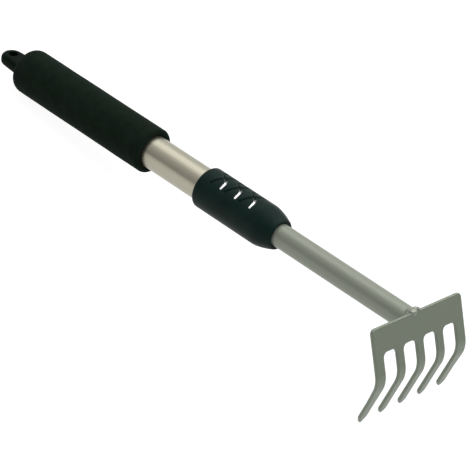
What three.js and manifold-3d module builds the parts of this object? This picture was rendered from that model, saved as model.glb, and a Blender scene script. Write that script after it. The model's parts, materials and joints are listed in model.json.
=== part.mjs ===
// A telescopic five-tine hand rake: foam-covered outer tube, twist-lock collar,
// sliding inner tube and a bent sheet-steel rake head welded to its end.
//
// Everything is built in the tool's own frame: the handle axis is X, measured from
// the front face of the foam grip, the head is at +X and the tines hang towards -Z.
// At the end the tool is tilted until the grip and the tine tips stand on one plane.

import * as THREE from 'three';
import { mergeVertices } from 'three/addons/utils/BufferGeometryUtils.js';
import Module from 'manifold-3d';

const wasm = await Module();
wasm.setup();

// ---------------------------------------------------------------- dimensions, mm
const GAP = 0.3;                 // clearance between neighbouring pieces
const SLIDE_PLAY = 0.1;          // further play round the sliding tube
const OVERLAP = 0.3;             // how far a ridge is sunk into the body it grows from
const CHAMFER = 0.8;             // lead-in edges of pieces inside the handle
const ROUND_SEGMENTS = 48;       // facets around a visible round piece
const HIDDEN_SEGMENTS = 32;      // facets around a piece inside the handle

// outer tube and grip
const TUBE_RADIUS = 12.5;
const TUBE_WALL = 1.2;
const TUBE_REAR = -136;
const TUBE_FRONT = 76;
const GRIP_RADIUS = 17.6;
const GRIP_REAR = -140;
const GRIP_REAR_ROUND = 4.3;     // how far the rear edge rounds inwards
const GRIP_REAR_REACH = 6;       // and how far forwards
const GRIP_FRONT_ROUND = 2.5;

// hang plug with its eyelet
const PLUG_SPIGOT_LENGTH = 16;
const PLUG_WALL = 2;
const LUG_CENTRE = -157.5;
const LUG_RADIUS = 8.8;
const LUG_BASE_HALF_WIDTH = 10;
const LUG_THICKNESS = 9;
const LUG_EDGE_ROUND = 2;
const LUG_WAIST = 3;             // how far behind the grip the lug starts to narrow
const LUG_WAIST_HALF_WIDTH = 9;
const FLANGE_RADIUS = 12.4;
const FLANGE_PROUD = 1.2;        // how far the plug's flange stands behind the grip
const FLANGE_ROUND = 2;
const EYELET_RADIUS = 3.5;

// twist collar
const COLLAR_RADIUS = 15.86;
const COLLAR_REAR = 56.8;
const COLLAR_SHOULDER = 115.9;
const COLLAR_FRONT = 131.3;
const COLLAR_MOUTH_RADIUS = 11.3;
const COLLAR_BULGE = 0.6;                   // how far the nose bows outside a plain cone
const COLLAR_REAR_ROUND = 1.2;
const COLLAR_LIP = 0.4;                     // chamfer of the mouth
const COLLAR_CONE_START = 103;
const COLLAR_CONE_END = 116.8;
const COLLAR_CONE_END_RADIUS = 10.7;
const MARK_CENTRES = [72.4, 87.1, 101.8];   // stations of the crossed grooves
const MARK_DEPTH = 1.1;
const MARK_WIDTH = 1.9;
const MARK_REACH = 10.5;                    // half the length of a groove round the collar
const MARK_SPREAD = 4.1;                    // how far its ends stand off along the collar
const MARK_CURL = 3;                        // distance round the collar in which it turns

// lock sleeve, its thread, the clamp ring and the washer
const SLEEVE_REAR = 50;
const SLEEVE_FLANGE = 3;
const SLEEVE_FRONT = 100;
const THREAD_LEAD = 4;
const THREAD_HEIGHT = 1.05;
const THREAD_PLAY = 0.35;
const THREAD_ROOT_WIDTH = 1.7;
const THREAD_TIP_WIDTH = 0.8;
const SLEEVE_THREAD_START = 82;
const SLEEVE_THREAD_TURNS = 3.5;
const COLLAR_THREAD_START = 84;
const COLLAR_THREAD_TURNS = 2;
const WASHER_THICKNESS = 1.6;
const CLAMP_LENGTH = 12.8;
const CLAMP_PLAY = 0.4;          // between the ring's cone and the collar's
const CLAMP_SLOT = 2.4;

// wiper seat in the collar mouth
const WIPER_START = 119.5;
const WIPER_LENGTH = 3;
const WIPER_SEAT_RADIUS = 11.2;

// inner tube and what its rear end carries
const SHAFT_RADIUS = 8.75;
const SHAFT_WALL = 1;
const SHAFT_REAR = -114;
const BUSH_HEAD_LENGTH = 5.2;
const BUSH_SPIGOT_LENGTH = 16;
const BUSH_BORE = 4;
const BUSH_PIN_RADIUS = 1.5;
const BUSH_PIN_STATION = -106;
const BUSH_PIN_INSET = 0.15;     // its ends stop short of the tube's outside
const STOP_RING_LENGTH = 3.4;

// rake head
const SHEET = 2.5;               // sheet thickness
const HEAD_STATION = 265.2;      // where the plate's front face crosses the handle axis
const HEAD_LEAN = THREE.MathUtils.degToRad(21.65);
const TINE_BACK_LEAN = THREE.MathUtils.degToRad(18.6);
const HEAD_WIDTH = 89.4;
const HEAD_TOP = 11.1;           // plate above the axis, along the plate
const HEAD_CORNER = 3.5;
const SLOT_TOP = 7.8;            // slot tops below the axis, along the plate
const SLOT_WIDTH = 13.1;
const SLOT_CORNER = 3.8;
const TINE_COUNT = 5;
const TINE_PITCH = 19.7;
const BEND_START = 21.7;         // below the axis, along the plate
const BEND_RADIUS = 17.3;
const TINE_LOWER = 32.7;         // straight length below the bend
const TINE_TIP_ROUND = 2.3;
const TINE_TAPER = 0.3;          // each side, between the bend and the tip
const END_TINE_TAPER = 0.75;     // share of an end tine's extra width lost below the bend
const END_TIP_SHARPNESS = 0.8;   // its tip's rounding against the other tips'
const END_TINE_EXTRA = 0.8;      // the tine at -Y is ground a little longer and sharper

// weld
const WELD_RADIUS = 2.4;
const WELD_SEAT = 0.4;           // how far the bead's middle stands off tube and plate
const WELD_LUMP = [4.2, 4.8, 3.4];
const WELD_LUMP_PLACE = [0.6, 0.8, -1.4];   // from the plate's top edge, over the tube

const SHAFT_BORE = SHAFT_RADIUS + GAP;
const TUBE_BORE = TUBE_RADIUS - TUBE_WALL;
const COLLAR_BORE = TUBE_RADIUS + GAP;
const PLUG_RADIUS = TUBE_BORE - GAP;
const SLEEVE_ROOT = COLLAR_BORE - THREAD_PLAY - THREAD_HEIGHT;

// ---------------------------------------------------------------- materials
const finish = (color, roughness, metalness) => (
  new THREE.MeshStandardMaterial({ color, roughness, metalness })
);
const ALUMINIUM = finish(0xb9b3a0, 0.38, 0.9);
const GREY_PAINT = finish(0x8d9083, 0.5, 0.3);
const FOAM = finish(0x141f19, 0.95, 0);
const DARK_PLASTIC = finish(0x15211f, 0.45, 0);
const WHITE_PLASTIC = finish(0xd8d6cc, 0.5, 0);
const RUBBER = finish(0x1b1b1b, 0.85, 0);
const STEEL = finish(0x9a9a98, 0.35, 1);

// ---------------------------------------------------------------- geometry helpers

// Merges shared vertices and turns the faces outwards if they point in.
function closed(geometry) {
  const bare = geometry.clone();
  for (const name of Object.keys(bare.attributes)) {
    if (name !== 'position') bare.deleteAttribute(name);
  }
  const merged = mergeVertices(bare, 1e-4);
  const at = merged.attributes.position;
  const index = Array.from(merged.index.array);
  const [a, b, c] = [new THREE.Vector3(), new THREE.Vector3(), new THREE.Vector3()];
  const kept = [];
  let volume = 0;
  for (let i = 0; i < index.length; i += 3) {
    const [p, q, r] = index.slice(i, i + 3);
    if (p === q || q === r || r === p) continue;
    a.fromBufferAttribute(at, p);
    b.fromBufferAttribute(at, q);
    c.fromBufferAttribute(at, r);
    volume += a.dot(b.cross(c));
    kept.push(p, q, r);
  }
  if (volume < 0) kept.reverse();
  merged.setIndex(kept);
  return merged;
}

const toManifold = (geometry) => {
  const mesh = closed(geometry);
  return new wasm.Manifold(new wasm.Mesh({
    numProp: 3,
    vertProperties: new Float32Array(mesh.attributes.position.array),
    triVerts: new Uint32Array(mesh.index.array),
  }));
};

function fromManifold(solid) {
  const mesh = solid.getMesh();
  const geometry = new THREE.BufferGeometry();
  geometry.setAttribute('position', new THREE.BufferAttribute(mesh.vertProperties, 3));
  geometry.setIndex(new THREE.BufferAttribute(mesh.triVerts, 1));
  return geometry;
}

const join = (first, ...rest) => (
  fromManifold(rest.reduce((sum, piece) => sum.add(toManifold(piece)), toManifold(first)))
);
const cut = (first, ...rest) => (
  fromManifold(rest.reduce((left, piece) => left.subtract(toManifold(piece)), toManifold(first)))
);
const common = (first, ...rest) => (
  fromManifold(rest.reduce((left, piece) => left.intersect(toManifold(piece)), toManifold(first)))
);

// Turns a closed outline of [x, radius] points about the handle axis.
function turned(outline, segments = ROUND_SEGMENTS) {
  const points = [...outline, outline[0]].map(([x, radius]) => new THREE.Vector2(radius, x));
  return closed(new THREE.LatheGeometry(points, segments).rotateZ(-Math.PI / 2));
}

const ring = (x0, x1, inner, outer, segments) => (
  turned([[x0, inner], [x0, outer], [x1, outer], [x1, inner]], segments)
);

const rod = (x0, x1, radius, segments = HIDDEN_SEGMENTS) => (
  new THREE.CylinderGeometry(radius, radius, x1 - x0, segments)
    .rotateZ(-Math.PI / 2)
    .translate((x0 + x1) / 2, 0, 0)
);

// [x, radius] points of an elliptic arc about a centre, between two directions.
function arc(x, radius, reach, rise, fromDegrees, toDegrees, steps) {
  const points = [];
  for (let i = 0; i <= steps; i += 1) {
    const turn = THREE.MathUtils.degToRad(fromDegrees + (toDegrees - fromDegrees) * i / steps);
    points.push([x + reach * Math.cos(turn), radius + rise * Math.sin(turn)]);
  }
  return points;
}

// A closed solid through a row of sections, each with the same number of corners.
function swept(sections) {
  const size = sections[0].length;
  const index = [];
  for (let i = 0; i < sections.length - 1; i += 1) {
    for (let k = 0; k < size; k += 1) {
      const here = i * size + k;
      const next = i * size + (k + 1) % size;
      index.push(here, next, next + size, here, next + size, here + size);
    }
  }
  const last = (sections.length - 1) * size;
  for (let k = 1; k < size - 1; k += 1) {
    index.push(0, k + 1, k, last, last + k, last + k + 1);
  }
  const geometry = new THREE.BufferGeometry();
  geometry.setAttribute('position', new THREE.Float32BufferAttribute(sections.flat(2), 3));
  geometry.setIndex(index);
  return geometry;
}

// A right-handed helical ridge: a trapezoid swept about the handle axis. The ridge
// stands outwards when its tip radius is larger than its root radius.
function helicalRidge(start, turns, rootRadius, tipRadius) {
  const stepsPerTurn = 24;
  const profile = [
    [-THREAD_ROOT_WIDTH / 2, rootRadius],
    [-THREAD_TIP_WIDTH / 2, tipRadius],
    [THREAD_TIP_WIDTH / 2, tipRadius],
    [THREAD_ROOT_WIDTH / 2, rootRadius],
  ];
  const sections = [];
  for (let i = 0; i <= turns * stepsPerTurn; i += 1) {
    const turn = 2 * Math.PI * i / stepsPerTurn;
    const along = start + THREAD_LEAD * i / stepsPerTurn;
    sections.push(profile.map(([x, radius]) => (
      [along + x, radius * Math.cos(turn), radius * Math.sin(turn)]
    )));
  }
  return swept(sections);
}

// ---------------------------------------------------------------- handle pieces

const outerTube = () => ring(TUBE_REAR, TUBE_FRONT, TUBE_BORE, TUBE_RADIUS);

// Foam sleeve, well rounded at the rear and a little at the front.
function foamGrip() {
  const bore = TUBE_RADIUS + GAP;
  const rearCentre = [GRIP_REAR + GRIP_REAR_REACH, GRIP_RADIUS - GRIP_REAR_ROUND];
  const frontCentre = [-GRIP_FRONT_ROUND, GRIP_RADIUS - GRIP_FRONT_ROUND];
  return turned([
    [GRIP_REAR, bore],
    ...arc(...rearCentre, GRIP_REAR_REACH, GRIP_REAR_ROUND, 180, 90, 6),
    ...arc(...frontCentre, GRIP_FRONT_ROUND, GRIP_FRONT_ROUND, 90, 0, 4),
    [0, bore],
  ]);
}

// Cup-shaped plug in the rear end of the outer tube, with a flat lug and its eyelet.
function hangPlug() {
  const flangeFront = TUBE_REAR - GAP;
  const flangeRear = GRIP_REAR - FLANGE_PROUD;
  const spigotFront = TUBE_REAR + PLUG_SPIGOT_LENGTH;
  const plug = turned([
    [flangeRear, 0],
    [flangeRear, FLANGE_RADIUS - FLANGE_ROUND],
    [flangeRear + FLANGE_ROUND, FLANGE_RADIUS],
    [flangeFront, FLANGE_RADIUS],
    [flangeFront, PLUG_RADIUS],
    [spigotFront - 1, PLUG_RADIUS],
    [spigotFront, PLUG_RADIUS - 1],
    [spigotFront, PLUG_RADIUS - PLUG_WALL],
    [flangeFront, PLUG_RADIUS - PLUG_WALL],
    [flangeFront, 0],
  ], HIDDEN_SEGMENTS);
  const outline = new THREE.Shape();
  const waist = GRIP_REAR - LUG_WAIST;
  const waistTurn = Math.atan2(LUG_WAIST_HALF_WIDTH, waist - LUG_CENTRE);
  outline.moveTo(flangeFront - 1, -LUG_BASE_HALF_WIDTH);
  outline.lineTo(flangeFront - 1, LUG_BASE_HALF_WIDTH);
  outline.lineTo(waist, LUG_WAIST_HALF_WIDTH);
  outline.absarc(LUG_CENTRE, 0, LUG_RADIUS, 2 * waistTurn, 2 * Math.PI - 2 * waistTurn, false);
  outline.lineTo(waist, -LUG_WAIST_HALF_WIDTH);
  const hole = new THREE.Path();
  hole.absarc(LUG_CENTRE, 0, EYELET_RADIUS, 0, 2 * Math.PI, false);
  outline.holes.push(hole);
  const lug = new THREE.ExtrudeGeometry(outline, {
    depth: LUG_THICKNESS - 2 * LUG_EDGE_ROUND,
    bevelThickness: LUG_EDGE_ROUND,
    bevelSize: LUG_EDGE_ROUND,
    bevelOffset: -LUG_EDGE_ROUND,
    bevelSegments: 3,
    curveSegments: 10,
  }).translate(0, 0, LUG_EDGE_ROUND - LUG_THICKNESS / 2);
  return join(plug, lug);
}

// Sleeve pressed into the front end of the outer tube, with the collar's thread on it.
function lockSleeve() {
  const flangeRear = TUBE_FRONT + GAP;
  const body = turned([
    [SLEEVE_REAR, SHAFT_BORE],
    [SLEEVE_REAR, PLUG_RADIUS - CHAMFER],
    [SLEEVE_REAR + CHAMFER, PLUG_RADIUS],
    [flangeRear, PLUG_RADIUS],
    [flangeRear, FLANGE_RADIUS],
    [flangeRear + SLEEVE_FLANGE, FLANGE_RADIUS],
    [flangeRear + SLEEVE_FLANGE, SLEEVE_ROOT],
    [SLEEVE_FRONT, SLEEVE_ROOT],
    [SLEEVE_FRONT, SHAFT_BORE],
  ], HIDDEN_SEGMENTS);
  const thread = helicalRidge(
    SLEEVE_THREAD_START,
    SLEEVE_THREAD_TURNS,
    SLEEVE_ROOT - OVERLAP,
    SLEEVE_ROOT + THREAD_HEIGHT,
  );
  return join(body, thread);
}

// ---------------------------------------------------------------- collar pieces

const thrustWasher = () => (
  ring(
    SLEEVE_FRONT + GAP,
    SLEEVE_FRONT + GAP + WASHER_THICKNESS,
    SHAFT_BORE + SLIDE_PLAY,
    COLLAR_BORE - 2 * GAP,
    HIDDEN_SEGMENTS,
  )
);

// Split conical ring: the collar's cone closes it on the inner tube.
function clampRing() {
  const rear = SLEEVE_FRONT + 2 * GAP + WASHER_THICKNESS;
  const front = rear + CLAMP_LENGTH;
  const slope = (COLLAR_BORE - COLLAR_CONE_END_RADIUS) / (COLLAR_CONE_END - COLLAR_CONE_START);
  const outer = (x) => COLLAR_BORE - slope * Math.max(x - COLLAR_CONE_START, 0) - CLAMP_PLAY;
  const body = turned([
    [rear, SHAFT_BORE],
    [rear, outer(rear)],
    [COLLAR_CONE_START, outer(COLLAR_CONE_START)],
    [front, outer(front)],
    [front, SHAFT_BORE],
  ], HIDDEN_SEGMENTS);
  const slot = new THREE.BoxGeometry(2 * CLAMP_LENGTH, CLAMP_SLOT, 2 * COLLAR_RADIUS)
    .translate(rear + CLAMP_LENGTH / 2, 0, -COLLAR_RADIUS);
  return cut(body, slot);
}

const wiperRing = () => (
  ring(
    WIPER_START + GAP,
    WIPER_START + WIPER_LENGTH - GAP,
    SHAFT_BORE,
    WIPER_SEAT_RADIUS - GAP,
    HIDDEN_SEGMENTS,
  )
);

// One groove cutter bent round the collar. It crosses the top of the collar at a slant
// and curls at both ends until it runs straight round.
function grooveCutter(station, middle, slant) {
  const steps = 16;
  const path = [];
  for (let i = 0; i <= steps; i += 1) {
    const round = MARK_REACH * (2 * i / steps - 1);
    path.push([station + slant * MARK_SPREAD * Math.tanh(round / MARK_CURL), round]);
  }
  const floor = COLLAR_RADIUS - MARK_DEPTH;
  const outside = COLLAR_RADIUS + MARK_DEPTH;
  const sections = path.map(([x, round], i) => {
    const [x0, round0] = path[Math.max(i - 1, 0)];
    const [x1, round1] = path[Math.min(i + 1, steps)];
    const stretch = MARK_WIDTH / 2 / Math.hypot(x1 - x0, round1 - round0);
    return [[-1, floor], [-1, outside], [1, outside], [1, floor]].map(([side, radius]) => {
      const angle = middle + (round - side * stretch * (x1 - x0)) / COLLAR_RADIUS;
      return [
        x + side * stretch * (round1 - round0),
        -radius * Math.sin(angle),
        radius * Math.cos(angle),
      ];
    });
  });
  return swept(sections);
}

// Crossed grooves in two opposite rows along the collar.
function grooveCutters() {
  const cutters = [];
  for (const middle of [0, Math.PI]) {
    for (const station of MARK_CENTRES) {
      for (const slant of [1, -1]) {
        cutters.push(grooveCutter(station, middle, slant));
      }
    }
  }
  return cutters;
}

// [x, radius] points of the bowed nose, from just past the shoulder to the mouth.
function noseProfile() {
  const steps = 4;
  const points = [];
  for (let i = 1; i <= steps; i += 1) {
    const share = i / steps;
    points.push([
      COLLAR_SHOULDER + (COLLAR_FRONT - COLLAR_LIP - COLLAR_SHOULDER) * share,
      COLLAR_RADIUS + (COLLAR_MOUTH_RADIUS - COLLAR_RADIUS) * share
        + 4 * COLLAR_BULGE * share * (1 - share),
    ]);
  }
  return points;
}

// Twist collar: thread and closing cone inside, wiper seat in the mouth, grooves outside.
function lockCollar() {
  const bore = SHAFT_BORE + SLIDE_PLAY;
  const wiperEnd = WIPER_START + WIPER_LENGTH;
  const rearCentre = [COLLAR_REAR + COLLAR_REAR_ROUND, COLLAR_RADIUS - COLLAR_REAR_ROUND];
  const body = turned([
    [COLLAR_REAR, COLLAR_BORE + CHAMFER],
    ...arc(...rearCentre, COLLAR_REAR_ROUND, COLLAR_REAR_ROUND, 180, 90, 3),
    [COLLAR_SHOULDER, COLLAR_RADIUS],
    ...noseProfile(),
    [COLLAR_FRONT, COLLAR_MOUTH_RADIUS - COLLAR_LIP],
    [COLLAR_FRONT, bore + COLLAR_LIP / 2],
    [COLLAR_FRONT - COLLAR_LIP, bore],
    [wiperEnd, bore],
    [wiperEnd, WIPER_SEAT_RADIUS],
    [WIPER_START, WIPER_SEAT_RADIUS],
    [WIPER_START, bore],
    [COLLAR_CONE_END, bore],
    [COLLAR_CONE_END, COLLAR_CONE_END_RADIUS],
    [COLLAR_CONE_START, COLLAR_BORE],
    [COLLAR_REAR + 1, COLLAR_BORE],
  ]);
  const thread = helicalRidge(
    COLLAR_THREAD_START,
    COLLAR_THREAD_TURNS,
    COLLAR_BORE + OVERLAP,
    COLLAR_BORE - THREAD_HEIGHT,
  );
  return cut(join(body, thread), ...grooveCutters());
}

// ---------------------------------------------------------------- shaft pieces

const pinBore = (radius, reach) => (
  new THREE.CylinderGeometry(radius, radius, 2 * reach, 24).translate(BUSH_PIN_STATION, 0, 0)
);

// The space in front of the plane `behind` mm behind the plate's front face.
function plateSpace(behind, depth, top = 200) {
  const height = 200 + top;
  return new THREE.BoxGeometry(depth, 300, height)
    .translate(depth / 2 - behind, 0, top - height / 2)
    .rotateY(-HEAD_LEAN)
    .translate(HEAD_STATION, 0, 0);
}

function innerTube() {
  const tube = ring(
    SHAFT_REAR,
    HEAD_STATION + 20,
    SHAFT_RADIUS - SHAFT_WALL,
    SHAFT_RADIUS,
  );
  return cut(tube, plateSpace(SHEET + GAP, 100), pinBore(BUSH_PIN_RADIUS + GAP, 20));
}

// Bush on the rear end of the inner tube: it guides the tube and stops its travel.
function guideBush() {
  const headRear = SHAFT_REAR - GAP - BUSH_HEAD_LENGTH;
  const headFront = SHAFT_REAR - GAP;
  const spigot = SHAFT_RADIUS - SHAFT_WALL - GAP;
  const body = turned([
    [headRear, BUSH_BORE],
    [headRear, PLUG_RADIUS - CHAMFER],
    [headRear + CHAMFER, PLUG_RADIUS],
    [headFront, PLUG_RADIUS],
    [headFront, spigot],
    [SHAFT_REAR + BUSH_SPIGOT_LENGTH, spigot],
    [SHAFT_REAR + BUSH_SPIGOT_LENGTH, BUSH_BORE],
  ], HIDDEN_SEGMENTS);
  return cut(body, pinBore(BUSH_PIN_RADIUS + GAP, 20));
}

const bushPin = () => pinBore(BUSH_PIN_RADIUS, SHAFT_RADIUS - BUSH_PIN_INSET);

const stopRing = () => (
  ring(
    SHAFT_REAR + GAP,
    SHAFT_REAR + GAP + STOP_RING_LENGTH,
    SHAFT_BORE,
    PLUG_RADIUS,
    HIDDEN_SEGMENTS,
  )
);

// ---------------------------------------------------------------- rake head

// The plate runs down along PLATE_DOWN and faces along PLATE_OUT; below the bend the
// tines run down along TINE_DOWN. All are [x, z] pairs.
const PLATE_DOWN = [Math.sin(HEAD_LEAN), -Math.cos(HEAD_LEAN)];
const PLATE_OUT = [Math.cos(HEAD_LEAN), Math.sin(HEAD_LEAN)];
const TINE_DOWN = [-Math.sin(TINE_BACK_LEAN), -Math.cos(TINE_BACK_LEAN)];

const BEND_CENTRE = [
  HEAD_STATION + BEND_START * PLATE_DOWN[0] - (BEND_RADIUS + SHEET) * PLATE_OUT[0],
  BEND_START * PLATE_DOWN[1] - (BEND_RADIUS + SHEET) * PLATE_OUT[1],
];

// Where the front (offset 0) or back (offset SHEET) face of a tine is at a bend angle.
const bendPoint = (turn, offset) => [
  BEND_CENTRE[0] + (BEND_RADIUS + SHEET - offset) * Math.cos(turn),
  BEND_CENTRE[1] + (BEND_RADIUS + SHEET - offset) * Math.sin(turn),
];
const BEND_END = bendPoint(-TINE_BACK_LEAN, 0);

// The side view of plate and tines as one bent strip, across the whole width.
function bentStrip() {
  const steps = 9;
  const front = [];
  const back = [];
  const top = [
    HEAD_STATION - HEAD_TOP * PLATE_DOWN[0],
    -HEAD_TOP * PLATE_DOWN[1],
  ];
  front.push(top);
  back.push([top[0] - SHEET * PLATE_OUT[0], top[1] - SHEET * PLATE_OUT[1]]);
  for (let i = 0; i <= steps; i += 1) {
    const turn = HEAD_LEAN - (HEAD_LEAN + TINE_BACK_LEAN) * i / steps;
    front.push(bendPoint(turn, 0));
    back.push(bendPoint(turn, SHEET));
  }
  for (const side of [front, back]) {
    const [x, z] = side[side.length - 1];
    const reach = TINE_LOWER + END_TINE_EXTRA;
    side.push([x + reach * TINE_DOWN[0], z + reach * TINE_DOWN[1]]);
  }
  const outline = new THREE.Shape([...front, ...back.reverse()].map(([x, z]) => new THREE.Vector2(x, z)));
  return new THREE.ExtrudeGeometry(outline, { depth: HEAD_WIDTH, bevelEnabled: false })
    .rotateX(Math.PI / 2)
    .translate(0, HEAD_WIDTH / 2, 0);
}

// Draws a shape given in [y, distance down] and extrudes it to both sides of a plane
// that passes through the [x, z] point `at` and leans by `lean` from upright.
const sheetCutter = (shape, at, lean) => (
  new THREE.ExtrudeGeometry(shape, { depth: 200, bevelEnabled: false, curveSegments: 5 })
    .translate(0, 0, -100)
    .applyMatrix4(new THREE.Matrix4().makeBasis(
      new THREE.Vector3(0, 1, 0),
      new THREE.Vector3(Math.sin(lean), 0, -Math.cos(lean)),
      new THREE.Vector3(Math.cos(lean), 0, Math.sin(lean)),
    ))
    .translate(at[0], 0, at[1])
);

// Plate outline with its rounded corners, open below, and the slots between tines.
function combShape() {
  const half = HEAD_WIDTH / 2;
  const depth = 90;
  const shape = new THREE.Shape();
  shape.moveTo(-half, depth);
  shape.lineTo(-half, HEAD_CORNER - HEAD_TOP);
  shape.quadraticCurveTo(-half, -HEAD_TOP, HEAD_CORNER - half, -HEAD_TOP);
  shape.lineTo(half - HEAD_CORNER, -HEAD_TOP);
  shape.quadraticCurveTo(half, -HEAD_TOP, half, HEAD_CORNER - HEAD_TOP);
  shape.lineTo(half, depth);
  for (let i = TINE_COUNT - 2; i >= 0; i -= 1) {
    const centre = (i - (TINE_COUNT - 2) / 2) * TINE_PITCH;
    const left = centre - SLOT_WIDTH / 2;
    const right = centre + SLOT_WIDTH / 2;
    shape.lineTo(right, depth);
    shape.lineTo(right, SLOT_TOP + SLOT_CORNER);
    shape.quadraticCurveTo(right, SLOT_TOP, right - SLOT_CORNER, SLOT_TOP);
    shape.lineTo(left + SLOT_CORNER, SLOT_TOP);
    shape.quadraticCurveTo(left, SLOT_TOP, left, SLOT_TOP + SLOT_CORNER);
    shape.lineTo(left, depth);
  }
  return shape;
}

// A wide block down to the bend, then five tapering tines with rounded tips.
function tineShape() {
  const shape = new THREE.Shape();
  const wide = HEAD_WIDTH;
  const inner = (TINE_PITCH - SLOT_WIDTH) / 2;
  const outer = HEAD_WIDTH / 2 - 1.5 * TINE_PITCH - SLOT_WIDTH / 2;
  shape.moveTo(-wide, -120);
  shape.lineTo(-wide, -2);
  for (let i = 0; i < TINE_COUNT; i += 1) {
    const centre = (i - (TINE_COUNT - 1) / 2) * TINE_PITCH;
    const first = i === 0;
    const last = i === TINE_COUNT - 1;
    const left = first ? -HEAD_WIDTH / 2 : centre - inner;
    const right = last ? HEAD_WIDTH / 2 : centre + inner;
    const narrowed = (outer - 2 * inner) * END_TINE_TAPER;
    const leftLow = left + (first ? narrowed : TINE_TAPER);
    const rightLow = right - (last ? narrowed : TINE_TAPER);
    const tip = TINE_LOWER + (first ? END_TINE_EXTRA : 0);
    const round = first ? TINE_TIP_ROUND * END_TIP_SHARPNESS : TINE_TIP_ROUND;
    const shoulder = tip - round * (first ? 3 : 1.6);
    const middle = (leftLow + rightLow) / 2;
    shape.lineTo(left, -2);
    shape.lineTo(leftLow, shoulder / 2);
    shape.lineTo(leftLow, shoulder);
    shape.quadraticCurveTo(leftLow + TINE_TAPER, tip, middle, tip);
    shape.quadraticCurveTo(rightLow - TINE_TAPER, tip, rightLow, shoulder);
    shape.lineTo(rightLow, shoulder / 2);
    shape.lineTo(right, -2);
  }
  shape.lineTo(wide, -2);
  shape.lineTo(wide, -120);
  return shape;
}

const rakeHead = () => common(
  bentStrip(),
  sheetCutter(combShape(), [HEAD_STATION, 0], HEAD_LEAN),
  sheetCutter(tineShape(), BEND_END, -TINE_BACK_LEAN),
);

// Fillet weld around the tube behind the plate, with a lump over the plate's top edge.
function weldBead() {
  const backX = HEAD_STATION - SHEET / Math.cos(HEAD_LEAN);
  const bead = new THREE.TorusGeometry(SHAFT_RADIUS + WELD_SEAT, WELD_RADIUS, 8, HIDDEN_SEGMENTS)
    .rotateY(Math.PI / 2)
    .applyMatrix4(new THREE.Matrix4().makeShear(0, 0, 0, 0, -Math.tan(HEAD_LEAN), 0))
    .translate(backX - WELD_SEAT, 0, 0);
  const lump = new THREE.SphereGeometry(1, 14, 9)
    .scale(...WELD_LUMP)
    .translate(backX - HEAD_TOP * PLATE_DOWN[0], 0, -HEAD_TOP * PLATE_DOWN[1])
    .translate(...WELD_LUMP_PLACE);
  return cut(
    join(bead, lump),
    rod(0, 400, SHAFT_BORE),
    plateSpace(SHEET + GAP, SHEET + 2 * GAP, HEAD_TOP + GAP),
    plateSpace(0, 60, HEAD_TOP + 60),
  );
}

// ---------------------------------------------------------------- assembly

const PIECES = [
  ['outer_tube', outerTube(), ALUMINIUM],
  ['foam_grip', foamGrip(), FOAM],
  ['hang_plug', hangPlug(), DARK_PLASTIC],
  ['lock_sleeve', lockSleeve(), WHITE_PLASTIC],
  ['thrust_washer', thrustWasher(), STEEL],
  ['clamp_ring', clampRing(), WHITE_PLASTIC],
  ['lock_collar', lockCollar(), DARK_PLASTIC],
  ['wiper_ring', wiperRing(), RUBBER],
  ['inner_tube', innerTube(), GREY_PAINT],
  ['guide_bush', guideBush(), WHITE_PLASTIC],
  ['bush_pin', bushPin(), STEEL],
  ['stop_ring', stopRing(), RUBBER],
  ['rake_head', rakeHead(), GREY_PAINT],
  ['weld_bead', weldBead(), GREY_PAINT],
];

const tool = new THREE.Group();
for (const [name, geometry, material] of PIECES) {
  const mesh = new THREE.Mesh(closed(geometry), material.clone());
  mesh.name = name;
  tool.add(mesh);
}

// The tool lies on the rear of its grip and on its tine tips: the rest tilt is the
// slope of the line through those two contacts.
const gripContact = [GRIP_REAR + GRIP_REAR_ROUND, -GRIP_RADIUS];
const tipReach = TINE_LOWER + END_TINE_EXTRA;
const tipContact = [
  BEND_END[0] + tipReach * TINE_DOWN[0],
  BEND_END[1] + tipReach * TINE_DOWN[1],
];
const restTilt = Math.atan2(gripContact[1] - tipContact[1], tipContact[0] - gripContact[0]);
tool.rotation.y = -restTilt;

// The row's origin is under the middle of the tool, on the plane it lies on.
tool.updateMatrixWorld(true);
const box = new THREE.Box3().setFromObject(tool, true);
const middle = box.getCenter(new THREE.Vector3());
tool.position.set(-middle.x, -middle.y, -box.min.z);

const group = new THREE.Group();
group.add(tool);
export default group;
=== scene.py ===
import json
import math
import bmesh
import bpy
from mathutils import Matrix, Vector, noise


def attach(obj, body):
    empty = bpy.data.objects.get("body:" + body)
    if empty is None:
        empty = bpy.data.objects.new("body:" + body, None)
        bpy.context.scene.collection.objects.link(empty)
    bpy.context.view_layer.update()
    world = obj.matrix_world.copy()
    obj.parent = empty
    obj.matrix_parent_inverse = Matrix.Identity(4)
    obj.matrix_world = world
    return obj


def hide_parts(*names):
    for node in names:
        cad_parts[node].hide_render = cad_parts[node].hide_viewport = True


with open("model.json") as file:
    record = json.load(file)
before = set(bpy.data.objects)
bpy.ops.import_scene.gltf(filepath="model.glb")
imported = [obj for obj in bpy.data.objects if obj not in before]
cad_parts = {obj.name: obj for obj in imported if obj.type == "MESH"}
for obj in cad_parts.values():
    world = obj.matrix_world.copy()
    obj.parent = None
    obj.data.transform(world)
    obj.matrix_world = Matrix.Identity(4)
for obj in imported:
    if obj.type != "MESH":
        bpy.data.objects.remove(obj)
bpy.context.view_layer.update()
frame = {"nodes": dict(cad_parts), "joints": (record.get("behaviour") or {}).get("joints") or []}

# ------------------------------------------------------------------ tool frame
# Shapes are drawn in millimetres in the tool's own frame: X runs along the handle
# from the grip's front face to the head, Y is across and Z is up from the axis.
HEAD_STATION = 265.2
JOINTS = {joint["name"]: joint for joint in frame["joints"]}


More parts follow.
